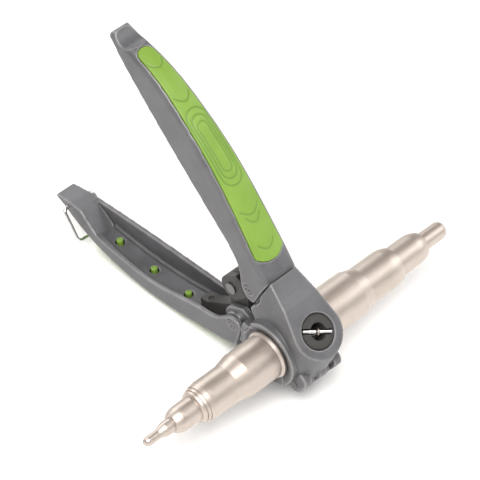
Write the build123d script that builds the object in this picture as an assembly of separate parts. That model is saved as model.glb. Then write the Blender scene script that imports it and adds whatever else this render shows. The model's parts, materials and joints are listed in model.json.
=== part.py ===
"""Hand-lever tube expander with a double-ended split mandrel, in millimetres.

Three frames are used.
  head frame    x along the mandrel, y towards the upper handle, z along the plugs; origin on the
                mandrel axis at the middle of the head.
  handle frame  y from the lever pin to the handle's tip, z outwards (the gripped side); origin on
                the lever pin.
  row frame     x along the mandrel, y along the lower handle, +Z up from the table.
The head and the upper handle lean by OPEN_ANGLE in the row frame, and the lower handle is level.
"""
from build123d import *
import os
from math import cos, sin, tan, radians, degrees, atan2, hypot

# ---------------------------------------------------------------- linkage
OPEN_ANGLE = 50.6          # between the two handles at rest
PIN_REACH = 25.9           # mandrel axis to the line through the two lever pins
PIN_HALF_SPAN = 17.15      # half the distance between the lever pins
PIVOT_RISE = 9.5           # handle pivot beyond that line
HINGE_DROP = 18.5          # mandrel axis to the jaw hinge
UPPER_TRAVEL = 34.0        # upper handle about its lever pin, open to shut
JAW_TRAVEL = 6.59          # rear jaw about the hinge over the same travel
LOWER_TRAVEL = 36.66       # lower handle about its lever pin, against the rear jaw
OPEN_PIVOT_PLAY = 1.6      # radial room round the handle pivot, in the lower lever
RUNNING_FIT = 0.05         # radial clearance of a pin that turns in its hole
SIDE_GAP = 0.2             # between faces that slide past each other
STATIC_GAP = 0.1           # between pieces of one body that are fitted loosely
BEYOND = 40.0              # past every face of the piece, for cuts that go right through

# ---------------------------------------------------------------- head castings
JAW_GAP = 0.4              # from the split plane to each casting
PLUG_LEVEL = 23.5          # plug face above the mandrel axis
HEAD_TOP_RADIUS = 13.2     # rounded end of the outer face, round the plug
HEAD_DRAFT = 6.5           # side draft of the head, degrees
NECK_HALF_WIDTH = 7.2      # outer face at the seam with the handle
NECK_LENGTH = 33.4         # mandrel axis to the seam, along the outer face
NECK_LEVEL = 19.8          # outer face at the seam, above the mandrel axis
COLLAR_RADIUS = 16.4       # half collar round the mandrel
COLLAR_REACH = 16.0        # half collar's face, from the middle of the head
COLLAR_CHAMFER = 2.2       # conical recess that shows the mandrel's flange
COLLAR_MOUTH_GAP = 0.5     # round the flange
COLLAR_LIP = 0.9           # depth of the conical mouth
NOSE_START = -9.5          # front casting: the outer face ends and the nose rounds down to the hinge
NOSE_BEND = (-19.0, 18.2)
NOSE_END = (-22.4, 8.0)
CHIN_BEND = (-22.2, 2.4)
FRONT_THROAT = (14.0, 23.6)  # front casting: the split face ends and slopes down to the arm
THROAT_DROP = -1.6
NECK_OVERRUN = 3.0         # past the seam, before the seam is cut
NECK_UNDERSIDE = 13.0
FACE_END = 16.0            # flat outer face, from the mandrel axis towards the handle
FRONT_ARM = (18.0, 6.9)    # middle of the arm's root, front casting
FRONT_ARM_RADIUS = 7.8
REAR_FACE_END = (10.0, 17.5)
REAR_SHOULDER = 17.0
REAR_THROAT = 15.0
REAR_ARM = (9.5, -11.0)
REAR_ARM_RADIUS = 9.0
SEAM_LOW = (-6.9, -1.0)    # slanted seam between casting and handle, in the handle frame
SEAM_HIGH = (2.3, 24.0)
SEAM_GAP = 0.35
HINGE_RADIUS = 4.6         # knuckles round the hinge pin
HINGE_HALF_WIDTH = 11.8    # end of the outer knuckles
NOSE_SLOPE = 7.0           # the head's round end slopes out this much, from plug face to hinge
HINGE_PIN_RADIUS = 2.0
HINGE_PAD = (1.0, 5.0)     # root of each knuckle, from the hinge
KNUCKLE_COUNT = 5
KNUCKLE_GAP = 0.2          # round a knuckle, in the other casting
HEEL_RADIUS = 12.0         # rounded heel of the rear casting, which rests on the table
HEEL_SETBACK = -10.6       # heel's middle, from the mandrel axis
HEEL_RISE = 3.0            # straight run above the heel
CHEEK_WIDTH = 6.75         # half width over the cheeks that go into a handle
CHEEK_SLOT = 3.5           # half width of the slot between the cheeks
CHEEK_RADIUS = 7.4         # cheek round the lever pin
EAR_ROOM = 7.9             # casting cleared round the pin, where the handle's ears swing
LEVER_ROOM = 1.2           # round the levers, inside the castings
KNUCKLE_ROOM = 0.5

# ---------------------------------------------------------------- plugs, cross pins, spring
PLUG_RADIUS = 8.2
PLUG_LENGTH = 12.0
PLUG_BORE = 4.2
PLUG_CHAMFER = 0.5
PLUG_RING = 0.45           # open ring round the plug's head
PLUG_RING_DEPTH = 1.6
PLUG_SLOT = 2.6            # width of the slot across the plug
PLUG_SLOT_DEPTH = 2.9
PLUG_SLOT_TURN = -30.0     # slot direction about the plug axis, from the mandrel's direction
CROSS_PIN_RADIUS = 1.0
CROSS_PIN_SINK = 1.5       # cross pin axis below the plug face
CROSS_PIN_INSET = 0.5      # from the plug's side to the pin's end
CROSS_PIN_CHAMFER = 0.25
SPRING_RADIUS = 3.2        # outside of the coils
SPRING_WIRE = 0.55         # wire radius
SPRING_BORE = 4.0          # hole through the mandrel halves
CASTING_BORE_GAP = 0.6     # the same hole is this much larger in radius in the castings
HOOK_GAP = 0.05            # between a hook and its cross pin
HOOK_SHANK = 3.0           # from the last coil to the hook
HOOK_ROOT = 0.4            # shank sunk into the last coil
HOOK_STRAIGHT = 2.0
HOOK_END = 1.2             # hook's free end, beyond the cross pin

# ---------------------------------------------------------------- mandrel
MANDREL_GAP = 0.05         # from the split plane to each half
SEAT_RADIUS = 10.2         # plain middle that the castings hold
FLANGE_FACE = 15.6
FLANGE_THICKNESS = 0.8
FLANGE_END = 17.6
NEAR_RADII = [11.1, 9.525, 6.35, 3.5, 2.3]
NEAR_STEPS = [(34.3, 41.4, "cone"), (54.5, 62.4, "lip"), (70.3, 75.6, "lip"), (79.6, 83.4, "cone")]
NEAR_TIP = 91.8
NEAR_FLANGE_RADIUS = 12.1
FAR_RADII = [11.75, 10.0, 7.9, 4.5]
FAR_STEPS = [(38.2, 44.1, "cone"), (59.9, 65.9, "lip"), (78.6, 85.3, "lip")]
LIP_HEIGHT = 0.9           # sharp step at the foot of a turned shoulder
LIP_SHARE = 0.62           # of the drop, taken by the curve before the lip
LIP_CURVE = 1.8            # power of that curve
TIP_CROWN = 2.6            # rounding of each tip
FAR_TIP = 99.9
FAR_FLANGE_RADIUS = 12.6
GROOVE_DEPTH = 0.3         # turned witness grooves on a shoulder
GROOVE_WIDTH = 0.5
GROOVE_OFFSETS = (1.9, 3.6)  # before the shoulder's foot

# ---------------------------------------------------------------- handles
EAR_HALF_WIDTH = 10.5      # at the lever pin
EAR_END = 5.0              # full width up to here
WAIST = 61.0
WAIST_CURVE = 1.15         # how late the taper to the tip sets in
WAIST_HALF_WIDTH = 8.8     # half way along
TIP_HALF_WIDTH = 5.6
WALL = 2.4
GRIP_THICKNESS = 2.6
FLOORS = [3.2, 3.2, 3.4, 4.0, 5.3, 5.9, 6.3, 6.4, 6.4, 6.4]   # metal under the grip, by station
SEAT_GAP = 0.05            # between the channel floor and a lever's foot
HANDLE_STATIONS = [-14, 0, 17, 38, 61, 84, 103, 117, 127, 134]
OUTER_LEVELS = [13.4, 15.6, 18.4, 21.0, 22.2, 20.2, 16.2, 10.0, 4.2, 0.9]
PAD_FOOT = (100.0, 8.1)    # the channel floor starts to slope up to the solid tip pad
PAD_TOP = (113.0, -3.5)
RIB_HEIGHT = 1.2           # rib on the channel floor
RIB_THICKNESS = 0.8
RIB_INSET = 3.6            # from the handle's side to the rib
RIB_SPAN = (20.0, 99.0)
GRIP_START = 8.0
GRIP_END = 119.0
GRIP_ENDS = (4.0, 3.0)     # length of each round end
GRIP_MARGIN = 2.0          # metal rim beside the grip
GRIP_PROUD = 0.35          # the grip stands this much above the metal
GRIP_SEAM = 0.15           # gap round the grip
PEG_FIRST = 17.5
PEG_PITCH = 24.6
PEG_COUNT = 4
PEG_RADIUS = 1.7
PEG_HOLE_RADIUS = 2.4
PEG_PROUD = 1.2            # beyond the channel floor
PEG_ROOT = 1.0             # sunk into the grip
SCOOP_START = (120.2, 8.6) # dished catch for the bail, in the outer face near the tip
SCOOP_END = (130.0, 1.9)
SCOOP_DEPTH = 2.5
TIP_END = 131.6
TIP_ROUND = 2.0            # end of the pad, seen from the side
TIP_FOOT = -1.8
TIP_NOSE = 0.2
TIP_SIDE = 2.6
TIP_SLOPE = 1.4
EAR_BEND = (-5.3, -3.5)    # round corner of the ear, in the handle frame
RIM = [(-2.2, -4.3), (3.4, -2.6), (10.0, 2.0), (20.0, 4.5), (32.0, 3.9), (50.0, 2.4), (83.0, -0.2),
       (108.0, -1.9), (120.0, -2.4)]
LOW_RIM = [(9.0, 1.2), (16.0, 2.9), (26.0, 5.2), (38.0, 7.4), (52.0, 10.2), (65.0, 11.2), (80.0, 10.2),
           (95.0, 8.6), (105.0, 6.2), (112.0, 3.0), (118.0, -2.6)]   # the wall that the other handle passes
CORNER = 3.6               # radius along the outer edges
CHANNEL_CORNER = 2.0
CROWN = 0.07               # rise of the outer face over its half width

# ---------------------------------------------------------------- levers and pins
LEVER_PIN_RADIUS = 2.75
LEVER_HALF_THICKNESS = 3.25
LEVER_RADIUS = 6.4         # round the lever pin
KNUCKLE_RADIUS = 6.6       # round the handle pivot
PIVOT_PIN_RADIUS = 2.0
FORK_HALF_WIDTH = 6.6
SPANNER_HOLE_RADIUS = 0.45
SPANNER_HOLE_OFFSET = 1.05
SPANNER_HOLE_TURN = -60.0
SPANNER_HOLE_DEPTH = 0.8
PIN_INSET = 0.1            # lever pin's end below the ear's face
PIN_CHAMFER = 0.3
PIVOT_HEAD = (1.0, 0.8)    # pivot pin's heads: beyond its radius, and thickness
PIVOT_HEAD_GAP = 0.02
LEVER_TAIL = (24.0, 9.4)   # far end of the lever inside the channel
LEVER_TAIL_RADIUS = 3.0
LEVER_FOOT = 4.0           # half length of the foot under the screw
FORK_GAP = 0.4             # fork's inner room, beyond the lower lever's knuckle
FORK_ROOT = 1.0
FORK_CHEEK_GAP = 1.9       # from the fork to the casting's cheek
SCREW_PLACE = 25.2
SCREW_RADIUS = 1.5
SCREW_HEAD_RADIUS = 2.8
SCREW_HEAD = 1.5
SCREW_LENGTH = 9.0
SCREW_SINK = 0.4           # head below the recess floor
WASHER_RADIUS = 5.2

# ---------------------------------------------------------------- bail
BAIL_PIVOT = (121.0, 0.4)  # along and outwards, in the handle frame
BAIL_WIRE = 0.9
BAIL_HALF_WIDTH = 9.6      # to the middle of each arm
BAIL_REACH = (-9.0, 15.6)  # cross bar from the pivot, along and outwards, at rest
BAIL_BEND = 2.4
BAIL_LEG_END = 3.6         # inner end of each leg, inside the tip pad
BAIL_HOLE_EXTRA = 0.4      # hole deeper than the leg

# ---------------------------------------------------------------- derived places, head frame
HALF_OPEN = OPEN_ANGLE / 2
BISECTOR = (cos(radians(HALF_OPEN)), -sin(radians(HALF_OPEN)))
ACROSS = (-BISECTOR[1], BISECTOR[0])


def on_bisector(along, across=0.0):
    """A (y, z) point of the head frame, from the mandrel axis along and across the bisector."""
    return (along * BISECTOR[0] + across * ACROSS[0], along * BISECTOR[1] + across * ACROSS[1])


UPPER_PIN = on_bisector(PIN_REACH, PIN_HALF_SPAN)
LOWER_PIN = on_bisector(PIN_REACH, -PIN_HALF_SPAN)
PIVOT = on_bisector(PIN_REACH + PIVOT_RISE)
HINGE = (-HINGE_DROP, 0.0)


def turned(point, angle):
    """A (y, z) point turned about the x axis."""
    c, s = cos(radians(angle)), sin(radians(angle))
    return (point[0] * c - point[1] * s, point[0] * s + point[1] * c)


PIVOT_IN_HANDLE = (PIVOT[0] - UPPER_PIN[0], PIVOT[1] - UPPER_PIN[1])
TABLE_LEVEL = turned(LOWER_PIN, OPEN_ANGLE)[1] - max(OUTER_LEVELS)


# ---------------------------------------------------------------- small tools
def side_face(points_or_wire):
    """A face in the y-z plane."""
    wire = points_or_wire
    if isinstance(wire, list):
        wire = Wire.make_polygon([Vector(0, y, z) for y, z in wire], close=True)
    return Face(wire)


def slab(face, low, high):
    """A y-z face made into a solid between two x values."""
    return Pos(low, 0, 0) * extrude(face, amount=high - low, dir=(1, 0, 0))


def disc(centre, radius, low, high):
    """A cylinder along x, centred on a (y, z) point."""
    x = (low + high) / 2
    return Pos(x, centre[0], centre[1]) * Rot(0, 90, 0) * Cylinder(radius, high - low)


def post(x, y, low, high, radius):
    """A cylinder along z."""
    return Pos(x, y, (low + high) / 2) * Cylinder(radius, high - low)


def block(x, y, z):
    """A box from three (low, high) pairs."""
    size = [pair[1] - pair[0] for pair in (x, y, z)]
    middle = [(pair[1] + pair[0]) / 2 for pair in (x, y, z)]
    return Pos(*middle) * Box(*size)


def capsule(start, end, start_radius, end_radius, low, high):
    """A tapered arm: two round ends and their common tangents, along x from low to high."""
    length = hypot(end[0] - start[0], end[1] - start[1])
    lean = atan2(end[1] - start[1], end[0] - start[0])
    spread = (start_radius - end_radius) / length
    tilt = (1 - spread * spread) ** 0.5
    corners = []
    for centre, radius, side in ((start, start_radius, 1), (end, end_radius, 1),
                                 (end, end_radius, -1), (start, start_radius, -1)):
        along, across = radius * spread, radius * tilt * side
        corners.append((centre[0] + along * cos(lean) - across * sin(lean),
                        centre[1] + along * sin(lean) + across * cos(lean)))
    arm = slab(side_face(corners), low, high)
    return arm + disc(start, start_radius, low, high) + disc(end, end_radius, low, high)


def one_solid(shape):
    """The largest solid of a shape, without booleans' loose crumbs."""
    return max(shape.solids(), key=lambda solid: solid.volume)


# ---------------------------------------------------------------- mandrel halves
def shoulder_radius(before, after, share):
    """Radius at a share of the way down a turned shoulder, from the larger step to its lip."""
    lip = max(after + LIP_HEIGHT, before - LIP_SHARE * (before - after))
    return before - (before - lip) * share ** LIP_CURVE


def mandrel_side(radii, steps, tip, flange_radius):
    """(distance, radius) points from the head to one tip; shoulders are turned with soft corners."""
    points = [(FLANGE_FACE, flange_radius), (FLANGE_FACE + FLANGE_THICKNESS, flange_radius),
              (FLANGE_END, radii[0])]
    for (start, end, kind), before, after in zip(steps, radii, radii[1:]):
        points.append((start, before))
        if kind == "lip":
            for share in (0.25, 0.5, 0.75, 0.92):
                points.append((start + share * (end - start), shoulder_radius(before, after, share)))
            lip = shoulder_radius(before, after, 1.0)
            points += [(end - 0.35, lip - 0.1), (end - 0.1, lip - 0.45 * (lip - after))]
        points.append((end, after))
    crown = min(radii[-1], TIP_CROWN)
    points += [(tip - crown, radii[-1]), (tip - 0.45 * crown, radii[-1] - 0.18 * crown),
               (tip - 0.12 * crown, radii[-1] - 0.5 * crown), (tip, radii[-1] - 0.95 * crown)]
    return points


def groove_cuts():
    """Two fine turned grooves at the near side's second shoulder."""
    cuts = []
    start, foot, _ = NEAR_STEPS[1]
    before, after = NEAR_RADII[1:3]
    for offset in GROOVE_OFFSETS:
        share = 1 - offset / (foot - start)
        bottom = shoulder_radius(before, after, share) - GROOVE_DEPTH
        ring = Cylinder(BEYOND, GROOVE_WIDTH) - Cylinder(bottom, GROOVE_WIDTH)
        cuts.append(Pos(offset - foot, 0, 0) * Rot(0, 90, 0) * ring)
    return cuts


def full_mandrel():
    near = mandrel_side(NEAR_RADII, NEAR_STEPS, NEAR_TIP, NEAR_FLANGE_RADIUS)
    far = mandrel_side(FAR_RADII, FAR_STEPS, FAR_TIP, FAR_FLANGE_RADIUS)
    outline = [(-NEAR_TIP, 0)]
    outline += [(-x, r) for x, r in reversed(near)]
    outline += [(-FLANGE_FACE, SEAT_RADIUS), (FLANGE_FACE, SEAT_RADIUS)]
    outline += far
    outline += [(FAR_TIP, 0)]
    face = Face(Wire.make_polygon([Vector(x, 0, r) for x, r in outline], close=True))
    body = revolve(face, axis=Axis.X)
    for cut in groove_cuts():
        body = body - cut
    return body - post(0, 0, -BEYOND, BEYOND, SPRING_BORE)


def mandrel_half(side):
    """side +1 is the front half (z > 0), -1 the rear half."""
    low, high = sorted((side * MANDREL_GAP, side * BEYOND))
    half = full_mandrel() & block((-2 * NEAR_TIP, 2 * FAR_TIP), (-BEYOND, BEYOND), (low, high))
    return one_solid(half)


# ---------------------------------------------------------------- plugs and spring
def plug(side):
    body = post(0, 0, PLUG_LEVEL - PLUG_LENGTH, PLUG_LEVEL, PLUG_RADIUS)
    body = chamfer(body.edges().sort_by(Axis.Z)[-1], PLUG_CHAMFER)
    body -= post(0, 0, 0, BEYOND, PLUG_BORE)
    half_slot = PLUG_SLOT / 2
    slot_floor = PLUG_LEVEL - PLUG_SLOT_DEPTH
    slot = block((-BEYOND, BEYOND), (-half_slot, half_slot), (slot_floor, BEYOND))
    body -= Rot(0, 0, PLUG_SLOT_TURN) * slot
    return flip(one_solid(body), side)


def cross_pin(side):
    level = PLUG_LEVEL - CROSS_PIN_SINK
    length = 2 * (PLUG_RADIUS - CROSS_PIN_INSET)
    rod = Rot(0, 90, 0) * Cylinder(CROSS_PIN_RADIUS, length)
    rod = chamfer(rod.edges().filter_by(GeomType.CIRCLE), CROSS_PIN_CHAMFER)
    return flip(Pos(0, 0, level) * Rot(0, 0, PLUG_SLOT_TURN) * rod, side)


def flip(shape, side):
    """The rear pieces are the front ones turned over the split plane."""
    return shape if side > 0 else mirror(shape, about=Plane.XY)


def return_spring():
    """Coil body as a closed sleeve, with a hook over each cross pin."""
    pin_level = PLUG_LEVEL - CROSS_PIN_SINK
    hook_radius = CROSS_PIN_RADIUS + SPRING_WIRE + HOOK_GAP
    coil_top = pin_level - hook_radius - HOOK_SHANK
    bore = SPRING_RADIUS - 2 * SPRING_WIRE
    spring = Cylinder(SPRING_RADIUS, 2 * coil_top) - Cylinder(bore, 2 * coil_top)
    root = Vector(0, SPRING_RADIUS - SPRING_WIRE, coil_top - HOOK_ROOT)
    bend = Vector(0, hook_radius, pin_level - HOOK_STRAIGHT)
    near = Vector(0, hook_radius, pin_level)
    crest = Vector(0, 0, pin_level + hook_radius)
    far = Vector(0, -hook_radius, pin_level)
    shank = Wire([Line(root, bend), Line(bend, near), ThreePointArc(near, crest, far),
                  Line(far, far - Vector(0, 0, HOOK_END))])
    section = Plane(origin=root, z_dir=bend - root) * Circle(SPRING_WIRE)
    hook = Rot(0, 0, PLUG_SLOT_TURN) * sweep(section, path=shank, transition=Transition.ROUND)
    for side in (1, -1):
        spring = spring + flip(hook, side)
    return one_solid(spring)


# ---------------------------------------------------------------- head castings
def head_plan(margin=0.0, slope=0.0):
    """Outline in x-y: a round end about the plug, moved out by the slope, narrowing to the neck."""
    radius = HEAD_TOP_RADIUS + margin
    neck = NECK_HALF_WIDTH + margin
    reach = NECK_LENGTH + 2 * NECK_OVERRUN
    lean = atan2(HEAD_TOP_RADIUS - NECK_HALF_WIDTH, NECK_LENGTH)
    touch = (radius * cos(lean), radius * sin(lean) - slope, 0)
    mirrored = (-touch[0], touch[1], 0)
    return Face(Wire([
        Line(touch, (neck, NECK_LENGTH, 0)),
        Line((neck, NECK_LENGTH, 0), (neck, reach, 0)),
        Line((neck, reach, 0), (-neck, reach, 0)),
        Line((-neck, reach, 0), (-neck, NECK_LENGTH, 0)),
        Line((-neck, NECK_LENGTH, 0), mirrored),
        ThreePointArc(mirrored, (0, -radius - slope, 0), touch),
    ]))


def seam_cut(outward=0.0):
    """Everything beyond the slanted seam between a casting and its handle, in the handle frame."""
    slope = (SEAM_HIGH[0] - SEAM_LOW[0]) / (SEAM_HIGH[1] - SEAM_LOW[1])
    bottom = (SEAM_LOW[0] - outward - BEYOND * slope, SEAM_LOW[1] - BEYOND)
    top = (SEAM_HIGH[0] - outward, SEAM_HIGH[1])
    corners = [bottom, top, (BEYOND, top[1]), (BEYOND, bottom[1])]
    return slab(side_face(corners), -BEYOND, BEYOND)


def head_body(side_outline):
    """Draft-sided head with the half collar, cut to the side outline."""
    base = HEAD_TOP_RADIUS + PLUG_LEVEL * tan(radians(HEAD_DRAFT))
    grow = base - HEAD_TOP_RADIUS
    hill = loft([Pos(0, 0, PLUG_LEVEL) * head_plan(), head_plan(grow, NOSE_SLOPE)])
    collar = disc((0, 0), COLLAR_RADIUS, -COLLAR_REACH, COLLAR_REACH)
    return (hill + collar) & slab(side_outline, -BEYOND, BEYOND)


def collar_recess():
    """Seat for the mandrel's middle and the conical mouth round each flange."""
    cut = disc((0, 0), SEAT_RADIUS, -BEYOND, BEYOND)
    floor = FLANGE_FACE - 0.6
    face = COLLAR_REACH + 0.1
    for direction, flange in ((-1, NEAR_FLANGE_RADIUS), (1, FAR_FLANGE_RADIUS)):
        mouth = flange + COLLAR_MOUTH_GAP
        profile = [(floor, 0), (floor, mouth), (COLLAR_REACH - COLLAR_LIP, mouth),
                   (face, mouth + COLLAR_CHAMFER), (face, 0)]
        corners = [Vector(direction * x, 0, r) for x, r in profile]
        ring = Face(Wire.make_polygon(corners, close=True))
        cut = cut + revolve(ring, axis=Axis.X)
    return cut


def knuckle_spans(front):
    """x spans of the hinge knuckles: three on the front casting, two on the rear one."""
    pitch = 2 * HINGE_HALF_WIDTH / KNUCKLE_COUNT
    spans = []
    for index in range(KNUCKLE_COUNT):
        if (index % 2 == 0) == front:
            low = -HINGE_HALF_WIDTH + index * pitch
            spans.append((low + SIDE_GAP / 2, low + pitch - SIDE_GAP / 2))
    return spans


def clevis(pin, root, root_radius):
    """Tapered arm from the head to the cheeks round a lever pin."""
    return capsule(root, pin, root_radius, CHEEK_RADIUS, -CHEEK_WIDTH, CHEEK_WIDTH)


def outline_point(y, z):
    return Vector(0, y, z)


def front_casting():
    point = outline_point
    split = point(-HINGE_DROP, JAW_GAP)
    throat = point(FRONT_THROAT[0], JAW_GAP)
    slope_start = point(FRONT_THROAT[1], THROAT_DROP)
    neck_end = NECK_LENGTH + NECK_OVERRUN
    underside = point(neck_end, NECK_UNDERSIDE)
    neck_top = point(neck_end, NECK_LEVEL)
    face_end = point(FACE_END, PLUG_LEVEL)
    nose = point(NOSE_START, PLUG_LEVEL)
    outline = Wire([
        Line(split, throat),
        Line(throat, slope_start),
        Line(slope_start, underside),
        Line(underside, neck_top),
        Line(neck_top, face_end),
        Line(face_end, nose),
        ThreePointArc(nose, point(*NOSE_BEND), point(*NOSE_END)),
        ThreePointArc(point(*NOSE_END), point(*CHIN_BEND), split),
    ])
    body = head_body(Face(outline))
    body = body - Pos(0, *UPPER_PIN) * seam_cut(SEAM_GAP)
    body = body + clevis(UPPER_PIN, FRONT_ARM, FRONT_ARM_RADIUS)
    return finish_casting(body, UPPER_PIN, front=True)


def rear_casting():
    """The rear jaw: a heel that stands on the table and an arm bent out to the lower handle."""
    point = outline_point
    lean = radians(OPEN_ANGLE)
    heel = (HEEL_SETBACK, (TABLE_LEVEL + HEEL_RADIUS - HEEL_SETBACK * sin(lean)) / cos(lean))
    down = turned((0, -HEEL_RADIUS), -OPEN_ANGLE)
    foot = point(heel[0] + down[0], heel[1] + down[1])
    left = point(heel[0] - HEEL_RADIUS, heel[1])
    left_top = point(heel[0] - HEEL_RADIUS, heel[1] + HEEL_RISE)
    under = point(heel[0], heel[1] - HEEL_RADIUS)
    throat = point(REAR_THROAT, -JAW_GAP)
    split = point(-HINGE_DROP, -JAW_GAP)
    face_start = point(0, -PLUG_LEVEL)
    face_end = point(REAR_FACE_END[0], -PLUG_LEVEL)
    shoulder = point(REAR_FACE_END[1], -REAR_SHOULDER)
    outline = Wire([
        Line(throat, split),
        Line(split, left_top),
        Line(left_top, left),
        ThreePointArc(left, foot, under),
        Line(under, face_start),
        Line(face_start, face_end),
        Line(face_end, shoulder),
        Line(shoulder, throat),
    ])
    flipped = mirror(Face(outline), about=Plane.XY)
    body = flip(head_body(flipped), -1)
    body = body - Pos(0, *LOWER_PIN) * Rot(-OPEN_ANGLE, 0, 0) * flip(seam_cut(SEAM_GAP), -1)
    body = body + clevis(LOWER_PIN, REAR_ARM, REAR_ARM_RADIUS)
    return finish_casting(body, LOWER_PIN, front=False)


def lever_sweep(pin, travel, steps=4):
    """Places of the handle pivot about a lever pin, from the open tool to the shut one."""
    arm = (PIVOT[0] - pin[0], PIVOT[1] - pin[1])
    places = []
    for step in range(steps + 1):
        swung = turned(arm, travel * step / steps)
        places.append((pin[0] + swung[0], pin[1] + swung[1]))
    return places


def finish_casting(body, pin, front):
    """Knuckles, bores and slots that both castings have."""
    side = 1 if front else -1
    pad = (HINGE[0] + HINGE_PAD[0], side * HINGE_PAD[1])
    room = HINGE_RADIUS + SIDE_GAP + KNUCKLE_GAP
    for low, high in knuckle_spans(not front):
        body = body - disc(HINGE, room, low - SIDE_GAP, high + SIDE_GAP)
    for low, high in knuckle_spans(front):
        body = body + capsule(pad, HINGE, HINGE_RADIUS, HINGE_RADIUS, low, high)
    pin_hole = HINGE_PIN_RADIUS if front else HINGE_PIN_RADIUS + RUNNING_FIT
    body = body - disc(HINGE, pin_hole, -BEYOND, BEYOND)
    body = body - collar_recess()
    body = body - flip(post(0, 0, PLUG_LEVEL - PLUG_LENGTH, BEYOND, PLUG_RADIUS), side)
    body = body - flip(post(0, 0, 0, BEYOND, SPRING_BORE + CASTING_BORE_GAP), side)
    ring_floor = PLUG_LEVEL - PLUG_RING_DEPTH
    body = body - flip(post(0, 0, ring_floor, BEYOND, PLUG_RADIUS + PLUG_RING), side)
    body = body - disc(pin, LEVER_PIN_RADIUS + RUNNING_FIT, -BEYOND, BEYOND)
    for low, high in ((-BEYOND, -CHEEK_WIDTH), (CHEEK_WIDTH, BEYOND)):
        body = body - disc(pin, EAR_ROOM, low, high)
    travel = -UPPER_TRAVEL if front else LOWER_TRAVEL
    lever_room = LEVER_RADIUS + LEVER_ROOM
    knuckle_room = KNUCKLE_RADIUS + OPEN_PIVOT_PLAY + KNUCKLE_ROOM
    body = body - disc(pin, lever_room, -CHEEK_SLOT, CHEEK_SLOT)
    for place in lever_sweep(pin, travel):
        body = body - capsule(pin, place, lever_room, knuckle_room, -CHEEK_SLOT, CHEEK_SLOT)
        body = body - disc(place, knuckle_room, -BEYOND, BEYOND)
    return one_solid(body)


# ---------------------------------------------------------------- handles
def half_width(y):
    """Handle half width, straight from the ears to the waist and on to the tip."""
    if y <= EAR_END:
        return EAR_HALF_WIDTH
    if y <= WAIST:
        share = (y - EAR_END) / (WAIST - EAR_END)
        return EAR_HALF_WIDTH + (WAIST_HALF_WIDTH - EAR_HALF_WIDTH) * share
    share = min(1.0, (y - WAIST) / (TIP_END - WAIST))
    return WAIST_HALF_WIDTH + (TIP_HALF_WIDTH - WAIST_HALF_WIDTH) * share ** WAIST_CURVE


def handle_loft(inset, drop, corner, floors=None):
    """Smooth body of the handle: rounded sections with the sides inset and the top lowered."""
    floors = floors or [0.0] * len(HANDLE_STATIONS)
    sections = []
    arc = corner * (1 - cos(radians(45)))
    for y, level, floor in zip(HANDLE_STATIONS, OUTER_LEVELS, floors):
        half = half_width(y) - inset
        top = level - drop - floor
        shoulder = top - CROWN * half
        side = shoulder - corner
        outline = Wire([
            Line((-half, -BEYOND), (half, -BEYOND)),
            Line((half, -BEYOND), (half, side)),
            ThreePointArc((half, side), (half - arc, shoulder - arc), (half - corner, shoulder)),
            ThreePointArc((half - corner, shoulder), (0, top), (corner - half, shoulder)),
            ThreePointArc((corner - half, shoulder), (arc - half, shoulder - arc), (-half, side)),
            Line((-half, side), (-half, -BEYOND)),
        ])
        plane = Plane(origin=(0, y, 0), x_dir=(-1, 0, 0), z_dir=(0, 1, 0))
        sections.append(plane * Face(outline))
    return loft(sections)


def rim_outline():
    """Side view of a handle: seam and ear at the left, rim below, tip at the right."""
    point = outline_point
    seam_top = point(*SEAM_HIGH)
    seam_foot = point(*SEAM_LOW)
    ear_foot = point(*RIM[0])
    rim_end = point(*RIM[-1])
    tip_foot = point(TIP_END - TIP_ROUND, TIP_FOOT)
    tip_side = point(TIP_END - TIP_SLOPE, TIP_SIDE)
    tip_top = point(TIP_END - TIP_SLOPE, SEAM_HIGH[1])
    return Wire([
        Line(seam_top, seam_foot),
        ThreePointArc(seam_foot, point(*EAR_BEND), ear_foot),
        Spline([point(*place) for place in RIM]),
        Line(rim_end, tip_foot),
        ThreePointArc(tip_foot, point(TIP_END, TIP_NOSE), tip_side),
        Line(tip_side, tip_top),
        Line(tip_top, seam_top),
    ])


def grip_plan(margin):
    """Grip outline seen from outside, with round ends; margin grows or shrinks it."""
    first, last = GRIP_START + GRIP_ENDS[0], GRIP_END - GRIP_ENDS[1]
    places = [first + (last - first) * share for share in (0.0, 0.27, 0.56, 0.83, 1.0)]
    right = [(half_width(y) - GRIP_MARGIN + margin, y) for y in places]
    left = [(-x, y) for x, y in reversed(right)]
    start, end = GRIP_START - margin, GRIP_END + margin
    outline = Wire([
        Spline([(x, y, 0) for x, y in right]),
        ThreePointArc((right[-1][0], right[-1][1], 0), (0, end, 0), (left[0][0], left[0][1], 0)),
        Spline([(x, y, 0) for x, y in left]),
        ThreePointArc((left[-1][0], left[-1][1], 0), (0, start, 0), (right[0][0], right[0][1], 0)),
    ])
    return extrude(Face(outline), amount=BEYOND, dir=(0, 0, 1))


def peg_places():
    return [PEG_FIRST + PEG_PITCH * index for index in range(PEG_COUNT)]


def tip_scoop():
    """A shallow dish between two points of the outer face, cut by a cylinder along x."""
    run = SCOOP_END[0] - SCOOP_START[0]
    fall = SCOOP_START[1] - SCOOP_END[1]
    chord = hypot(run, fall)
    radius = (chord * chord / 4 + SCOOP_DEPTH ** 2) / (2 * SCOOP_DEPTH)
    middle = ((SCOOP_START[0] + SCOOP_END[0]) / 2, (SCOOP_START[1] + SCOOP_END[1]) / 2)
    rise = radius - SCOOP_DEPTH
    centre = (middle[0] + rise * fall / chord, middle[1] + rise * run / chord)
    return disc(centre, radius, -BEYOND, BEYOND)


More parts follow.
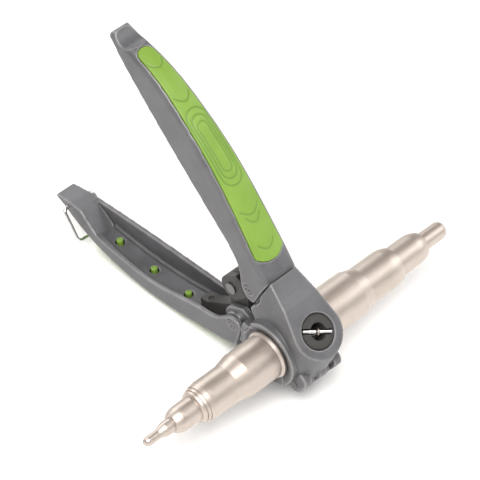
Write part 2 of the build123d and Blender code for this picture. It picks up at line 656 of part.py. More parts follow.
def low_wall_cut():
    """Takes the wall on the +x side down to its low rim."""
    point = outline_point
    start, end = point(*LOW_RIM[0]), point(*LOW_RIM[-1])
    over_start, over_end = point(LOW_RIM[0][0], -BEYOND), point(LOW_RIM[-1][0], -BEYOND)
    outline = Wire([
        Spline([point(*place) for place in LOW_RIM]),
        Line(end, over_end),
        Line(over_end, over_start),
        Line(over_start, start),
    ])
    return slab(Face(outline), 0, BEYOND)


def handle_shell(outer, under_grip, channel, above_rib):
    shell = outer & slab(Face(rim_outline()), -BEYOND, BEYOND)
    corners = [(-BEYOND, BEYOND), (PAD_FOOT[0], BEYOND), PAD_FOOT, PAD_TOP, (PAD_TOP[0], -BEYOND),
               (-BEYOND, -BEYOND)]
    before_pad = slab(side_face(corners), -BEYOND, BEYOND)
    shell = shell - (channel & before_pad)
    shell = shell - (low_wall_cut() & before_pad)
    shell = shell + channel_rib(channel, above_rib)
    shell = shell - (grip_plan(GRIP_SEAM) - under_grip)
    shell = shell - disc((0, 0), LEVER_PIN_RADIUS, -BEYOND, BEYOND)
    shell = shell - tip_scoop()
    for y in peg_places():
        shell = shell - post(0, y, 0, BEYOND, PEG_HOLE_RADIUS)
    shell = shell - post(0, SCREW_PLACE, 0, BEYOND, SCREW_RADIUS + STATIC_GAP)
    shell = shell - screw_head_room()
    return one_solid(shell)


def channel_rib(channel, above_rib):
    """A thin rib along the channel floor, beside the tall wall."""
    start, end = RIB_SPAN
    near = [(RIB_INSET - half_width(y), y) for y in (start, end)]
    far = [(x - RIB_THICKNESS, y) for x, y in reversed(near)]
    strip = Face(Wire.make_polygon([Vector(x, y, 0) for x, y in near + far], close=True))
    return extrude(strip, amount=BEYOND, dir=(0, 0, 1)) & (channel - above_rib)


def screw_head_room():
    bottom = floor_level(SCREW_PLACE) - SCREW_HEAD
    return post(0, SCREW_PLACE, bottom, BEYOND, SCREW_HEAD_RADIUS + STATIC_GAP)


def at_station(values, y):
    """A value of the handle stations on the centre line, straight between stations."""
    rows = list(zip(HANDLE_STATIONS, values))
    for (y0, one), (y1, two) in zip(rows, rows[1:]):
        if y0 <= y <= y1:
            return one + (two - one) * (y - y0) / (y1 - y0)
    return rows[-1][1]


def floor_level(y):
    """Floor of the grip's recess on the centre line."""
    return at_station(OUTER_LEVELS, y) - GRIP_THICKNESS


def grip(proud, under_grip):
    body = (grip_plan(0.0) & proud) - under_grip
    body = body - tip_scoop()
    body = one_solid(body)
    for y in peg_places():
        recess = floor_level(y)
        inside = recess - at_station(FLOORS, y)
        body = body + post(0, y, inside - PEG_PROUD, recess + PEG_ROOT, PEG_RADIUS)
    return one_solid(body)


def lever_plate(channel):
    """Steel plate between the cheeks: lever pin, handle pivot and a tail screwed to the channel."""
    half = LEVER_HALF_THICKNESS
    plate = capsule((0, 0), PIVOT_IN_HANDLE, LEVER_RADIUS, KNUCKLE_RADIUS, -half, half)
    tail = capsule((0, 0), LEVER_TAIL, LEVER_RADIUS, LEVER_TAIL_RADIUS, -half, half)
    ends = (SCREW_PLACE - LEVER_FOOT, SCREW_PLACE + LEVER_FOOT)
    foot = block((-half, half), ends, (LEVER_TAIL[1] - LEVER_TAIL_RADIUS, BEYOND)) & channel
    plate = plate + tail + foot
    plate = plate - disc((0, 0), LEVER_PIN_RADIUS, -BEYOND, BEYOND)
    return plate - post(0, SCREW_PLACE, -BEYOND, BEYOND, SCREW_RADIUS)


def upper_lever(channel):
    """The upper lever forks round the lower one at the handle pivot."""
    length = hypot(*PIVOT_IN_HANDLE)
    inner = KNUCKLE_RADIUS + OPEN_PIVOT_PLAY + FORK_GAP
    share = (length - inner - FORK_ROOT) / length
    root = (PIVOT_IN_HANDLE[0] * share, PIVOT_IN_HANDLE[1] * share)
    plate_room = disc(PIVOT_IN_HANDLE, inner, -FORK_HALF_WIDTH, FORK_HALF_WIDTH)
    fork = capsule(PIVOT_IN_HANDLE, root, KNUCKLE_RADIUS, KNUCKLE_RADIUS - FORK_ROOT,
                   -FORK_HALF_WIDTH, FORK_HALF_WIDTH)
    cheek_reach = length - CHEEK_RADIUS - FORK_CHEEK_GAP
    fork = fork & disc(PIVOT_IN_HANDLE, cheek_reach, -BEYOND, BEYOND)
    slot = LEVER_HALF_THICKNESS + SIDE_GAP
    fork = fork - disc(PIVOT_IN_HANDLE, inner, -slot, slot)
    body = (lever_plate(channel) - plate_room) + fork
    return one_solid(body - disc(PIVOT_IN_HANDLE, PIVOT_PIN_RADIUS, -BEYOND, BEYOND))


def lower_lever(channel):
    hole = disc(PIVOT_IN_HANDLE, PIVOT_PIN_RADIUS + OPEN_PIVOT_PLAY, -BEYOND, BEYOND)
    return one_solid(lever_plate(channel) - hole)


def lever_pin():
    """Headless pin, flush with the ears, with two spanner holes in each end."""
    half = EAR_HALF_WIDTH - PIN_INSET
    pin = disc((0, 0), LEVER_PIN_RADIUS, -half, half)
    pin = chamfer(pin.edges().filter_by(GeomType.CIRCLE), PIN_CHAMFER)
    for end in (-1, 1):
        for offset in (-SPANNER_HOLE_OFFSET, SPANNER_HOLE_OFFSET):
            place = turned((offset, 0), SPANNER_HOLE_TURN)
            span = sorted((end * (half - SPANNER_HOLE_DEPTH), end * BEYOND))
            pin = pin - disc(place, SPANNER_HOLE_RADIUS, *span)
    return one_solid(pin)


def lever_screw():
    top = floor_level(SCREW_PLACE)
    face = top - SCREW_SINK
    shaft = post(0, SCREW_PLACE, top - SCREW_LENGTH, face, SCREW_RADIUS)
    return shaft + post(0, SCREW_PLACE, top - SCREW_HEAD, face, SCREW_HEAD_RADIUS)


def pin_washers():
    """A thrust washer each side, between the ear and the casting's cheek."""
    inner = CHEEK_WIDTH + STATIC_GAP
    outer = EAR_HALF_WIDTH - WALL - SIDE_GAP
    hole = disc((0, 0), LEVER_PIN_RADIUS + RUNNING_FIT, -BEYOND, BEYOND)
    rings = []
    for low, high in ((-outer, -inner), (inner, outer)):
        rings.append(one_solid(disc((0, 0), WASHER_RADIUS, low, high) - hole))
    return rings


def pivot_pin():
    half = FORK_HALF_WIDTH + PIVOT_HEAD[1]
    face = FORK_HALF_WIDTH + PIVOT_HEAD_GAP
    pin = disc(PIVOT_IN_HANDLE, PIVOT_PIN_RADIUS, -half, half)
    for low, high in ((-half, -face), (face, half)):
        pin = pin + disc(PIVOT_IN_HANDLE, PIVOT_PIN_RADIUS + PIVOT_HEAD[0], low, high)
    return one_solid(pin)


# ---------------------------------------------------------------- bail
def wire_bail():
    """Bent wire: two legs in the tip pad, two arms and a cross bar, in the handle frame."""
    y0, z0 = BAIL_PIVOT
    y1, z1 = y0 + BAIL_REACH[0], z0 + BAIL_REACH[1]
    half = BAIL_HALF_WIDTH
    path = FilletPolyline([(-BAIL_LEG_END, y0, z0), (-half, y0, z0), (-half, y1, z1),
                           (half, y1, z1), (half, y0, z0), (BAIL_LEG_END, y0, z0)],
                          radius=BAIL_BEND)
    section = Plane(origin=(-BAIL_LEG_END, y0, z0), z_dir=(-1, 0, 0)) * Circle(BAIL_WIRE)
    return sweep(section, path=path).solid()


def bail_holes():
    """Blind holes in the tip pad's sides for the bail's legs."""
    holes = []
    for side in (-1, 1):
        span = sorted((side * (BAIL_LEG_END - BAIL_HOLE_EXTRA), side * BEYOND))
        holes.append(disc(BAIL_PIVOT, BAIL_WIRE + RUNNING_FIT, *span))
    return holes


# ---------------------------------------------------------------- placing
def in_head(shape):
    """Head frame to row frame."""
    return Rot(OPEN_ANGLE, 0, 0) * shape


def on_upper(shape):
    """Handle frame of the upper handle to row frame."""
    return in_head(Pos(0, UPPER_PIN[0], UPPER_PIN[1]) * shape)


def on_lower(shape):
    """Handle frame of the lower handle, which lies on its outer side, to row frame."""
    pin = turned(LOWER_PIN, OPEN_ANGLE)
    return Pos(0, pin[0], pin[1]) * Rot(0, 180, 0) * shape


def main():
    nodes = {}
    for name, side in (("front", 1), ("rear", -1)):
        nodes[f"{name}_mandrel"] = in_head(mandrel_half(side))
        nodes[f"{name}_plug"] = in_head(plug(side))
        nodes[f"{name}_cross_pin"] = in_head(cross_pin(side))
    nodes["front_casting"] = in_head(front_casting())
    nodes["rear_casting"] = in_head(rear_casting())
    nodes["return_spring"] = in_head(return_spring())
    hinge_pin = disc(HINGE, HINGE_PIN_RADIUS, -HINGE_HALF_WIDTH, HINGE_HALF_WIDTH)
    nodes["hinge_pin"] = in_head(hinge_pin)

    outer = handle_loft(0.0, 0.0, CORNER)
    proud = handle_loft(0.0, -GRIP_PROUD, CORNER)
    under_grip = handle_loft(0.0, GRIP_THICKNESS, CORNER)
    channel = handle_loft(WALL, GRIP_THICKNESS, CHANNEL_CORNER, FLOORS)
    seat = handle_loft(WALL, GRIP_THICKNESS + SEAT_GAP, CHANNEL_CORNER, FLOORS)
    above_rib = handle_loft(WALL, GRIP_THICKNESS + RIB_HEIGHT, CHANNEL_CORNER, FLOORS)
    shell = handle_shell(outer, under_grip, channel, above_rib)
    lower_shell = shell
    for hole in bail_holes():
        lower_shell = lower_shell - hole
    handles = (("upper", on_upper, upper_lever, shell),
               ("lower", on_lower, lower_lever, one_solid(lower_shell)))
    for name, place, lever, casing in handles:
        nodes[f"{name}_handle"] = place(casing)
        nodes[f"{name}_grip"] = place(grip(proud, under_grip))
        nodes[f"{name}_lever"] = place(lever(seat))
        nodes[f"{name}_lever_pin"] = place(lever_pin())
        nodes[f"{name}_lever_screw"] = place(lever_screw())
        nodes[f"{name}_pin_washers"] = Compound(children=[place(ring) for ring in pin_washers()])
    nodes["pivot_pin"] = on_upper(pivot_pin())
    nodes["wire_bail"] = on_lower(wire_bail())

    boxes = [shape.bounding_box(optimal=True) for shape in nodes.values()]
    middle_x = (min(box.min.X for box in boxes) + max(box.max.X for box in boxes)) / 2
    middle_y = (min(box.min.Y for box in boxes) + max(box.max.Y for box in boxes)) / 2
    origin = Pos(-middle_x, -middle_y, -min(box.min.Z for box in boxes))
    os.makedirs("parts", exist_ok=True)
    for name, shape in nodes.items():
        export_step(origin * shape, f"parts/{name}.step")


main()
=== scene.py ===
"""Looks of the hand tube expander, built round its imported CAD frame.

Everything is in metres in the row frame: x along the mandrel, y along the lower handle, z up.
Handle coordinates are used for the grips: across the handle, along it from the lever pin, and
outwards to the gripped side.
"""
import json
import math

import bmesh
import bpy
import numpy as np
from mathutils import Matrix, Vector


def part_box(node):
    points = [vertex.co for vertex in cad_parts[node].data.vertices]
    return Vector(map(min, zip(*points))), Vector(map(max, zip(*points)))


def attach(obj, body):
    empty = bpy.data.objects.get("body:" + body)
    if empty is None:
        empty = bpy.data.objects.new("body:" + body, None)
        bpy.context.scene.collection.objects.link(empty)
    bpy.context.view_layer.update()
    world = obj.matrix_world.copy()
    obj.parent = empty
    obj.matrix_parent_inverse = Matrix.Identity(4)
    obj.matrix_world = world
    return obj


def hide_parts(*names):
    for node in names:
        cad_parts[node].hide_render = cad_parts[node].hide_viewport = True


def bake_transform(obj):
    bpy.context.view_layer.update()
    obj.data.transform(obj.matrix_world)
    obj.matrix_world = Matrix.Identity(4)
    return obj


MM = 0.001
LEAN = math.radians(50.6)          # upper handle and head, above the lower handle

# Softened castings, handles and grips
WELD_DISTANCE = 0.0005 * MM
SMOOTH_FACTOR = 0.5
CAST_VOXEL = 0.36 * MM
CAST_PASSES = 7
CURVE_BLUR = 6                     # passes over the curvature that places the painted edge highlights and painted hollow shade
HINGE_CLEARANCE = 0.04 * MM        # round the hinge pin, in the softened castings
GRIP_VOXEL = 0.25 * MM
GRIP_PASSES = 5

# Raised and sunk lines moulded in a grip: places along it and half widths, in mm
ARC_PLACES = (108.0, 89.5)
ARC_HALF_WIDTH = 4.2
ARC_RISE = 3.4
PANELS = ((85.5, 46.0, 5.4), (82.0, 49.5, 4.0), (78.5, 53.0, 2.6))   # start, end, half width
HEEL_ARCS = ((31.0, 5.2), (27.0, 4.0), (13.5, 4.6))                  # place, half width
LINE_WIDTH = 0.38 * MM
LINE_DEPTH = 0.26 * MM
ARC_STEPS = 12
OUTER_FACE_START = 4 * MM          # a grip's outer face lies beyond this, outwards from the lever pin
FACING_START = 0.45                # lines fade in where the surface turns outwards this much
FACING_FADE = 0.3

# Return spring, in mm
SPRING_MEAN = 2.65
SPRING_WIRE = 0.55
SPRING_TURNS = 30
SPRING_SIDES = 8
TURN_STEPS = 18                    # points in each turn of the coil
END_STEPS = 4                      # points left out at each end of the coil, where the hooks start
HOOK_RADIUS = 1.6
HOOK_SHANK = 3.0
HOOK_STEPS = 10
SHANK_BEND = (0.4, 0.7)            # the shank leaves the coil: inwards and along
SHANK_END = 1.6                    # before the cross pin
HOOK_END = 1.0                     # free end, before the cross pin
SLOT_TURN = math.radians(-30.0)

# Camera
CAMERA_AT = Vector((-0.5666, -0.7176, 0.8542))
CAMERA_BACK = Vector((-0.4761, -0.5753, 0.6651))
CAMERA_UP = Vector((0.5002, 0.4448, 0.7429))
CAMERA_LENS = 195.0
SENSOR = 36.0
CLIP_START = 0.05
CLIP_END = 20.0

# Stage
FLOOR_HALF_SIZE = 4.0
SURROUND_STRENGTH = 0.66


# ---------------------------------------------------------------- frame
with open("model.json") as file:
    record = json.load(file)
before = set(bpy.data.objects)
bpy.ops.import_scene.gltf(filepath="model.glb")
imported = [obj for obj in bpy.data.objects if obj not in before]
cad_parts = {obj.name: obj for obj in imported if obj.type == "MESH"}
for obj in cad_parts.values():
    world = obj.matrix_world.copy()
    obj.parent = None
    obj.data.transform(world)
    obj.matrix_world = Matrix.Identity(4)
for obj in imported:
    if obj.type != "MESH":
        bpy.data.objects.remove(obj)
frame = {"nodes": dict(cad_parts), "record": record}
nodes = frame["nodes"]
bodies = frame["record"]["behaviour"]["bodies"]
slots = {part["node"]: part["material_slot"] for part in frame["record"]["subparts"]}
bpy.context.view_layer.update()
body_of_node = {node: body for body, members in bodies.items() for node in members}


def centre(node):
    low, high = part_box(node)
    return (low + high) / 2


HEAD_MIDDLE = (centre("front_cross_pin") + centre("rear_cross_pin")) / 2
HEAD_UP = Vector((0, math.cos(LEAN), math.sin(LEAN)))
HEAD_OUT = Vector((0, -math.sin(LEAN), math.cos(LEAN)))
HANDLES = {
    "upper": (centre("upper_lever_pin"), HEAD_UP, HEAD_OUT),
    "lower": (centre("lower_lever_pin"), Vector((0, 1, 0)), Vector((0, 0, -1))),
}


# ---------------------------------------------------------------- mesh tools
def points_of(mesh):
    flat = np.empty(len(mesh.vertices) * 3, np.float32)
    mesh.vertices.foreach_get("co", flat)
    return flat.reshape(-1, 3).astype(float)


def put_points(mesh, points):
    mesh.vertices.foreach_set("co", points.astype(np.float32).ravel())
    mesh.update()


def normals_of(mesh):
    flat = np.empty(len(mesh.vertices) * 3, np.float32)
    mesh.vertex_normals.foreach_get("vector", flat)
    return flat.reshape(-1, 3)


def new_piece(name, mesh, node):
    """A smooth piece that stands for a CAD node and takes its slot and finish."""
    piece = bpy.data.objects.new(name, mesh)
    bpy.context.scene.collection.objects.link(piece)
    mesh.materials.clear()
    mesh.materials.append(FINISHES[slots[node]])
    mesh.shade_smooth()
    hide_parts(node)
    return piece


def softened(node, voxel, passes):
    """An even mesh of a CAD node, inside its box, with edges rounded like a casting's."""
    copy = bpy.data.objects.new("copy", nodes[node].data.copy())
    bpy.context.scene.collection.objects.link(copy)
    welded = bmesh.new()
    welded.from_mesh(copy.data)
    bmesh.ops.remove_doubles(welded, verts=welded.verts, dist=WELD_DISTANCE)
    welded.to_mesh(copy.data)
    welded.free()
    even = copy.modifiers.new("even", "REMESH")
    even.mode = "VOXEL"
    even.voxel_size = voxel
    soft = copy.modifiers.new("soft", "SMOOTH")
    soft.factor = SMOOTH_FACTOR
    soft.iterations = passes
    graph = bpy.context.evaluated_depsgraph_get()
    mesh = bpy.data.meshes.new_from_object(copy.evaluated_get(graph))
    bpy.data.objects.remove(copy)
    low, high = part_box(node)
    points = np.clip(points_of(mesh), np.array(low), np.array(high))
    put_points(mesh, points)
    set_attribute(mesh, "edge_curve", curvature(mesh, voxel))
    return mesh


def curvature(mesh, voxel):
    """Blurred curvature of an even mesh, per millimetre: above zero on edges, below in hollows."""
    points = points_of(mesh)
    ends = np.empty(len(mesh.edges) * 2, np.int32)
    mesh.edges.foreach_get("vertices", ends)
    ends = np.concatenate([ends.reshape(-1, 2), ends.reshape(-1, 2)[:, ::-1]])
    count = np.maximum(np.bincount(ends[:, 0], minlength=len(points)), 1)

    def beside(values):
        return np.bincount(ends[:, 0], values[ends[:, 1]], len(points)) / count

    mean = np.stack([beside(points[:, axis]) for axis in range(3)], axis=1)
    bend = np.einsum("ij,ij->i", points - mean, normals_of(mesh)) * 4 * MM / voxel ** 2
    for _ in range(CURVE_BLUR):
        bend = 0.5 * bend + 0.5 * beside(bend)
    return bend


def set_attribute(mesh, name, values):
    layer = mesh.attributes.new(name, "FLOAT", "POINT")
    layer.data.foreach_set("value", values.astype(np.float32))


def tube(path, radius, sides):
    """A mesh tube along a list of points, with closed ends."""
    path = [Vector(point) for point in path]
    mesh = bmesh.new()
    rings = []
    normal = Vector((0.31, 0.57, 0.76))     # any direction that is not along the first step
    for index, point in enumerate(path):
        before = path[max(index - 1, 0)]
        after = path[min(index + 1, len(path) - 1)]
        along = (after - before).normalized()
        normal = (normal - along * normal.dot(along)).normalized()
        across = along.cross(normal)
        ring = []
        for side in range(sides):
            turn = 2 * math.pi * side / sides
            offset = (normal * math.cos(turn) + across * math.sin(turn)) * radius
            ring.append(mesh.verts.new(point + offset))
        rings.append(ring)
    for one, two in zip(rings, rings[1:]):
        for side in range(sides):
            other = (side + 1) % sides
            mesh.faces.new((one[side], one[other], two[other], two[side]))
    mesh.faces.new(reversed(rings[0]))
    mesh.faces.new(rings[-1])
    bmesh.ops.recalc_face_normals(mesh, faces=mesh.faces)
    made = bpy.data.meshes.new("tube")
    mesh.to_mesh(made)
    mesh.free()
    return made


# ---------------------------------------------------------------- shading tools
def shader(name):
    """A new material, its node tree and its Principled shader."""
    material = bpy.data.materials.new(name)
    material.use_nodes = True
    tree = material.node_tree
    return material, tree, tree.nodes["Principled BSDF"]


def add(tree, kind, values=None, **settings):
    node = tree.nodes.new(kind)
    for key, value in settings.items():
        setattr(node, key, value)
    for key, value in (values or {}).items():
        if isinstance(value, bpy.types.NodeSocket):
            tree.links.new(value, node.inputs[key])
        else:
            node.inputs[key].default_value = value
    return node


def place(tree, stretch=(1, 1, 1)):
    """The piece's own coordinates, in metres, scaled along each axis."""
    source = add(tree, "ShaderNodeTexCoord").outputs["Object"]
    return add(tree, "ShaderNodeMapping", {"Vector": source, "Scale": stretch}).outputs["Vector"]


def noise(tree, where, scale, detail=2.0, roughness=0.5):
    values = {"Vector": where, "Scale": scale, "Detail": detail, "Roughness": roughness}
    return add(tree, "ShaderNodeTexNoise", values).outputs["Fac"]


def remap(tree, value, low, high, to_low, to_high):
    values = {"Value": value, "From Min": low, "From Max": high, "To Min": to_low, "To Max": to_high}
    return add(tree, "ShaderNodeMapRange", values, clamp=True).outputs["Result"]


def blend_colours(tree, factor, one, two):
    node = add(tree, "ShaderNodeMix", data_type="RGBA")
    for index, value in ((0, factor), (6, one), (7, two)):
        if isinstance(value, bpy.types.NodeSocket):
            tree.links.new(value, node.inputs[index])
        else:
            node.inputs[index].default_value = value
    return node.outputs[2]


def bump(tree, height, strength, distance, below=None):
    values = {"Height": height, "Strength": strength, "Distance": distance}
    if below is not None:
        values["Normal"] = below
    return add(tree, "ShaderNodeBump", values).outputs["Normal"]


def finish_shader(tree, surface, colour, roughness, normal):
    tree.links.new(colour, surface.inputs["Base Color"])
    tree.links.new(roughness, surface.inputs["Roughness"])
    tree.links.new(normal, surface.inputs["Normal"])


def grey(value, warm=0.0):
    return (value * (1 + warm), value, value * (1 - warm), 1.0)


# ---------------------------------------------------------------- materials
def casting_paint():
    """Satin powder coat: orange peel, fine grain, faint mottling, painted highlights on the edges,
    painted shade in the hollows.
    """
    material, tree, surface = shader("casting_paint")
    where = place(tree)
    peel = noise(tree, where, 950.0, 2.0)
    grain = noise(tree, where, 3100.0, 3.0, 0.7)
    mottle = noise(tree, where, 85.0, 3.0)
    patchy = remap(tree, mottle, 0.35, 0.65, 0, 1)
    shade = blend_colours(tree, patchy, (0.094, 0.095, 0.102, 1), (0.124, 0.125, 0.134, 1))
    speckle = remap(tree, grain, 0.50, 0.66, 0.0, 0.48)
    shade = blend_colours(tree, speckle, shade, (0.21, 0.205, 0.207, 1))
    edge = add(tree, "ShaderNodeAttribute", attribute_name="edge_curve").outputs["Fac"]
    # painted highlight: edges with positive curvature are lightened, standing in for light caught on
    # the rounded edges
    painted_edge_highlight = remap(tree, edge, 0.12, 0.90, 0.0, 0.42)
    shade = blend_colours(tree, painted_edge_highlight, shade, (0.40, 0.392, 0.392, 1))
    # painted shade: hollows with negative curvature are darkened
    painted_hollow_shade = remap(tree, edge, -0.60, -0.10, 0.60, 0.0)
    shade = blend_colours(tree, painted_hollow_shade, shade, (0.055, 0.053, 0.054, 1))
    rough = remap(tree, mottle, 0.3, 0.7, 0.37, 0.47)
    normal = bump(tree, peel, 0.30, 0.05 * MM)
    normal = bump(tree, grain, 0.22, 0.012 * MM, normal)
    finish_shader(tree, surface, shade, rough, normal)
    surface.inputs["Metallic"].default_value = 0.35
    return material


def grip_rubber():
    """Lime moulded rubber: fine spark texture, slight clouding, painted shade darkening the sunk
    moulded lines.
    """
    material, tree, surface = shader("grip_rubber")
    where = place(tree)
    cloud = noise(tree, where, 70.0, 2.0)
    fine = noise(tree, where, 4200.0, 3.0, 0.65)
    patchy = remap(tree, cloud, 0.3, 0.7, 0, 1)
    shade = blend_colours(tree, patchy, (0.152, 0.268, 0.030, 1), (0.190, 0.318, 0.048, 1))
    line = add(tree, "ShaderNodeAttribute", attribute_name="moulded_line").outputs["Fac"]
    # painted shade: the sunk moulded lines are darkened through their depth mask
    shade = blend_colours(tree, remap(tree, line, 0.0, 1.0, 0.0, 0.62), shade, (0.072, 0.155, 0.018, 1))
    rough = remap(tree, fine, 0.3, 0.7, 0.42, 0.56)
    normal = bump(tree, fine, 0.25, 0.02 * MM)
    finish_shader(tree, surface, shade, rough, normal)
    surface.inputs["Subsurface Weight"].default_value = 0.06
    surface.inputs["Subsurface Scale"].default_value = 0.6 * MM
    surface.inputs["Subsurface Radius"].default_value = (0.6, 1.0, 0.2)
    surface.inputs["Specular IOR Level"].default_value = 0.42
    return material


def turned_metal(name, dark, light, rough_low, rough_high, ring_scale, strength):
    """Metal turned about x: fine rings round the axis, faint long scratches and clouding."""
    material, tree, surface = shader(name)
    rings = noise(tree, place(tree, (1, 0.004, 0.004)), ring_scale, 4.0, 0.6)
    cloud = noise(tree, place(tree), 90.0, 3.0)
    handling = noise(tree, place(tree, (0.25, 1, 1)), 900.0, 4.0, 0.7)
    shade = blend_colours(tree, remap(tree, cloud, 0.3, 0.7, 0, 1), dark, light)
    shade = blend_colours(tree, remap(tree, rings, 0.35, 0.75, 0.0, 0.10), shade, grey(0.35, 0.08))
    rough = remap(tree, handling, 0.3, 0.75, rough_low, rough_high)
    normal = bump(tree, rings, strength, 0.012 * MM)
    normal = bump(tree, handling, strength * 0.4, 0.006 * MM, normal)
    finish_shader(tree, surface, shade, rough, normal)
    surface.inputs["Metallic"].default_value = 1.0
    return material


def drawn_metal(name, dark, light, rough_low, rough_high):
    """Drawn or rolled steel: small pits and clouding."""
    material, tree, surface = shader(name)
    where = place(tree)
    cloud = noise(tree, where, 220.0, 3.0)
    pits = noise(tree, where, 3600.0, 3.0, 0.7)
    shade = blend_colours(tree, remap(tree, cloud, 0.3, 0.7, 0, 1), dark, light)
    rough = remap(tree, pits, 0.3, 0.7, rough_low, rough_high)
    normal = bump(tree, pits, 0.14, 0.01 * MM)
    finish_shader(tree, surface, shade, rough, normal)
    surface.inputs["Metallic"].default_value = 1.0
    return material


def black_oxide():
    """Oiled black oxide on steel: near black, mottled, rubbed brown-grey along the edges."""
    material, tree, surface = shader("black_oxide")
    where = place(tree)
    mottle = noise(tree, where, 420.0, 4.0, 0.6)
    pits = noise(tree, where, 3000.0, 3.0, 0.7)
    patchy = remap(tree, mottle, 0.3, 0.7, 0, 1)
    shade = blend_colours(tree, patchy, (0.004, 0.004, 0.0042, 1), (0.010, 0.0098, 0.0098, 1))
    edge = add(tree, "ShaderNodeNewGeometry").outputs["Pointiness"]
    shade = blend_colours(tree, remap(tree, edge, 0.52, 0.60, 0.0, 0.4), shade, (0.12, 0.115, 0.11, 1))
    rough = remap(tree, mottle, 0.3, 0.7, 0.36, 0.52)
    normal = bump(tree, pits, 0.25, 0.02 * MM)
    finish_shader(tree, surface, shade, rough, normal)
    surface.inputs["Specular IOR Level"].default_value = 0.2
    return material


FINISHES = {
    "casting": casting_paint(),
    "grip": grip_rubber(),
    "mandrel": turned_metal("satin_nickel", (0.53, 0.465, 0.415, 1), (0.59, 0.525, 0.475, 1),
                            0.40, 0.48, 5200.0, 0.16),
    "black_steel": black_oxide(),
    "bright_steel": drawn_metal("bright_wire", grey(0.62), grey(0.78), 0.14, 0.26),
    "spring_steel": drawn_metal("spring_wire", grey(0.30, 0.08), grey(0.44, 0.08), 0.24, 0.38),
    "pin_steel": turned_metal("ground_pin", grey(0.13), grey(0.19), 0.30, 0.42, 7000.0, 0.15),
    "zinc_steel": drawn_metal("zinc_plate", (0.50, 0.52, 0.53, 1), (0.66, 0.67, 0.68, 1), 0.26, 0.40),
}


# ---------------------------------------------------------------- castings and handles
def clear_of_hinge(mesh):
    """Keeps the softened bore just outside the hinge pin that turns in it."""
    low, high = (np.array(corner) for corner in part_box("hinge_pin"))
    points = points_of(mesh)
    middle = (low + high)[1:] / 2
    clear = (high - low)[2] / 2 + HINGE_CLEARANCE
    outwards = points[:, 1:] - middle
    distance = np.linalg.norm(outwards, axis=1)
    inside = (distance < clear) & (points[:, 0] > low[0]) & (points[:, 0] < high[0])
    points[inside, 1:] = middle + outwards[inside] * (clear / distance[inside])[:, None]
    put_points(mesh, points)


for node in ("front_casting", "rear_casting", "upper_handle", "lower_handle"):
    mesh = softened(node, CAST_VOXEL, CAST_PASSES)
    if node.endswith("casting"):
        clear_of_hinge(mesh)
    piece = new_piece(f"{node}_cast", mesh, node)
    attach(piece, body_of_node[node])


# ---------------------------------------------------------------- grips
def distance_to_line(points, line):
    """Distance in the plane from each (across, along) point to a polyline."""
    best = np.full(len(points), 1e9)
    for start, end in zip(line, line[1:]):
        start, end = np.array(start), np.array(end)
        run = end - start
        share = np.clip(((points - start) @ run) / (run @ run), 0, 1)
        best = np.minimum(best, np.linalg.norm(points - start - share[:, None] * run, axis=1))
    return best


def arc_line(place_mm, half_width, rise):
    """A shallow U across the grip, open towards the tip."""
    line = []
    for step in range(ARC_STEPS + 1):
        share = -1 + 2 * step / ARC_STEPS
        line.append((share * half_width * MM, (place_mm + rise * share * share) * MM))
    return line


def panel_line(start, end, half_width):
    """A long panel outline with half-round ends."""
    line = []
    for centre_along, first in ((start - half_width, 0), (end + half_width, 1)):
        for step in range(ARC_STEPS + 1):
            turn = math.pi * (first + step / ARC_STEPS)
            across = half_width * math.cos(turn)
            line.append((across * MM, (centre_along + half_width * math.sin(turn)) * MM))
    return line + line[:1]


def moulded_lines():
    lines = [arc_line(place_mm, ARC_HALF_WIDTH, ARC_RISE) for place_mm in ARC_PLACES]
    lines += [panel_line(*panel) for panel in PANELS]
    lines += [arc_line(place_mm, width, ARC_RISE) for place_mm, width in HEEL_ARCS]
    return lines


def mould_grip(mesh, handle):
    """Sinks the moulded lines into the outer face."""
    origin, along_axis, out_axis = HANDLES[handle]
    points = points_of(mesh)
    local = points - np.array(origin)
    across, along = local[:, 0], local @ np.array(along_axis)
    outwards = local @ np.array(out_axis)
    facing = normals_of(mesh) @ np.array(out_axis)
    outer = np.clip((facing - FACING_START) / FACING_FADE, 0, 1) * (outwards > OUTER_FACE_START)
    flat = np.stack([across, along], axis=1)
    depth = np.zeros(len(points))
    for line in moulded_lines():
        near = distance_to_line(flat, line) / LINE_WIDTH
        depth = np.maximum(depth, np.exp(-near ** 2))
    depth *= outer
    # this depth also masks the painted shade of the lines in grip_rubber
    set_attribute(mesh, "moulded_line", depth)
    put_points(mesh, points - np.outer(depth * LINE_DEPTH, np.array(out_axis)))


for handle in HANDLES:
    node = f"{handle}_grip"
    mesh = softened(node, GRIP_VOXEL, GRIP_PASSES)
    mould_grip(mesh, handle)
    piece = new_piece(f"{node}_moulded", mesh, node)
    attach(piece, body_of_node[node])


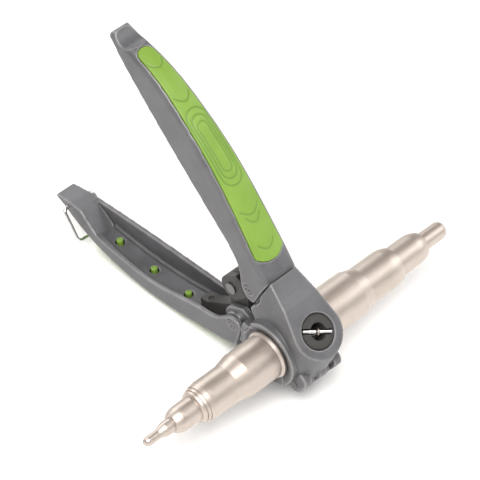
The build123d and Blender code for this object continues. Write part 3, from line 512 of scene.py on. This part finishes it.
# ---------------------------------------------------------------- return spring
def spring_path():
    """Close-wound turns between the plugs, with a hook over each cross pin."""
    hooked = (centre("front_cross_pin") - HEAD_MIDDLE).length / MM
    top = hooked - HOOK_RADIUS - HOOK_SHANK
    side = Vector((-math.sin(SLOT_TURN), 0, 0)) + HEAD_UP * math.cos(SLOT_TURN)
    other = side.cross(HEAD_OUT)

    def at(radius, turn, height):
        spoke = side * math.cos(turn) + other * math.sin(turn)
        return HEAD_MIDDLE + spoke * radius * MM + HEAD_OUT * height * MM

    def hook(sign):
        shank = [at(SPRING_MEAN, 0, sign * top),
                 at(SPRING_MEAN - SHANK_BEND[0], 0, sign * (top + SHANK_BEND[1])),
                 at(HOOK_RADIUS, 0, sign * (hooked - SHANK_END))]
        bend = []
        for step in range(HOOK_STEPS + 1):
            turn = math.pi * step / HOOK_STEPS
            height = hooked + HOOK_RADIUS * math.sin(turn)
            bend.append(at(HOOK_RADIUS * math.cos(turn), 0, sign * height))
        return shank + bend + [at(-HOOK_RADIUS, 0, sign * (hooked - HOOK_END))]

    coil = []
    steps = SPRING_TURNS * TURN_STEPS
    for step in range(steps + 1):
        share = step / steps
        coil.append(at(SPRING_MEAN, 2 * math.pi * SPRING_TURNS * share, top * (1 - 2 * share)))
    return list(reversed(hook(1))) + coil[END_STEPS:-END_STEPS] + hook(-1)


wound = tube(spring_path(), SPRING_WIRE * MM, SPRING_SIDES)
spring = new_piece("return_spring_wound", wound, "return_spring")
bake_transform(spring)


# ---------------------------------------------------------------- the other CAD nodes
for name, node in nodes.items():
    node.data.materials.clear()
    node.data.materials.append(FINISHES[slots[name]])


# ---------------------------------------------------------------- stage
def area_light(name, at, target, size, power, colour=(1, 1, 1)):
    light = bpy.data.lights.new(name, "AREA")
    light.shape = "RECTANGLE"
    light.size, light.size_y = size
    light.energy = power
    light.color = colour
    lamp = bpy.data.objects.new(name, light)
    lamp.location = at
    lamp.rotation_euler = (Vector(target) - Vector(at)).to_track_quat("-Z", "Y").to_euler()
    bpy.context.scene.collection.objects.link(lamp)


def make_floor():
    """A pale, faintly mottled floor."""
    mesh = bmesh.new()
    bmesh.ops.create_grid(mesh, x_segments=8, y_segments=8, size=FLOOR_HALF_SIZE)
    made = bpy.data.meshes.new("floor")
    mesh.to_mesh(made)
    mesh.free()
    floor = bpy.data.objects.new("floor", made)
    bpy.context.scene.collection.objects.link(floor)
    material, tree, surface = shader("floor_card")
    cloud = noise(tree, place(tree), 3.0, 3.0)
    shade = blend_colours(tree, cloud, grey(0.90), grey(0.93))
    rough = remap(tree, cloud, 0.3, 0.7, 0.75, 0.85)
    normal = bump(tree, noise(tree, place(tree), 400.0), 0.05, 0.05 * MM)
    finish_shader(tree, surface, shade, rough, normal)
    made.materials.append(material)


def make_world():
    """Soft studio surround: pale low down, dimmer and warmer overhead."""
    world = bpy.data.worlds.new("studio")
    bpy.context.scene.world = world
    world.use_nodes = True
    tree = world.node_tree
    background = tree.nodes["Background"]
    coordinates = add(tree, "ShaderNodeTexCoord").outputs["Generated"]
    height = add(tree, "ShaderNodeSeparateXYZ", {"Vector": coordinates}).outputs["Z"]
    share = remap(tree, height, 0.0, 0.8, 0.0, 1.0)
    colour = blend_colours(tree, share, (1.0, 0.99, 0.98, 1), (0.46, 0.41, 0.375, 1))
    tree.links.new(colour, background.inputs["Color"])
    background.inputs["Strength"].default_value = SURROUND_STRENGTH


make_floor()
make_world()
area_light("key", (-0.55, -0.55, 1.25), (0, 0, 0.05), (1.0, 1.0), 26.0, (1.0, 0.99, 0.975))
area_light("side", (1.2, -0.7, 0.9), (0, 0, 0.03), (1.2, 0.9), 10.0)
area_light("back", (0.2, 1.3, 1.1), (0, 0, 0.04), (1.4, 0.8), 12.0)

camera = bpy.data.objects.new("camera", bpy.data.cameras.new("camera"))
bpy.context.scene.collection.objects.link(camera)
back = CAMERA_BACK.normalized()
right = CAMERA_UP.cross(back).normalized()
up = back.cross(right)
camera.matrix_world = Matrix.Translation(CAMERA_AT) @ Matrix((right, up, back)).transposed().to_4x4()
camera.data.lens = CAMERA_LENS
camera.data.sensor_width = SENSOR
camera.data.clip_start = CLIP_START
camera.data.clip_end = CLIP_END
bpy.context.scene.camera = camera
bpy.context.scene.view_settings.view_transform = "Standard"
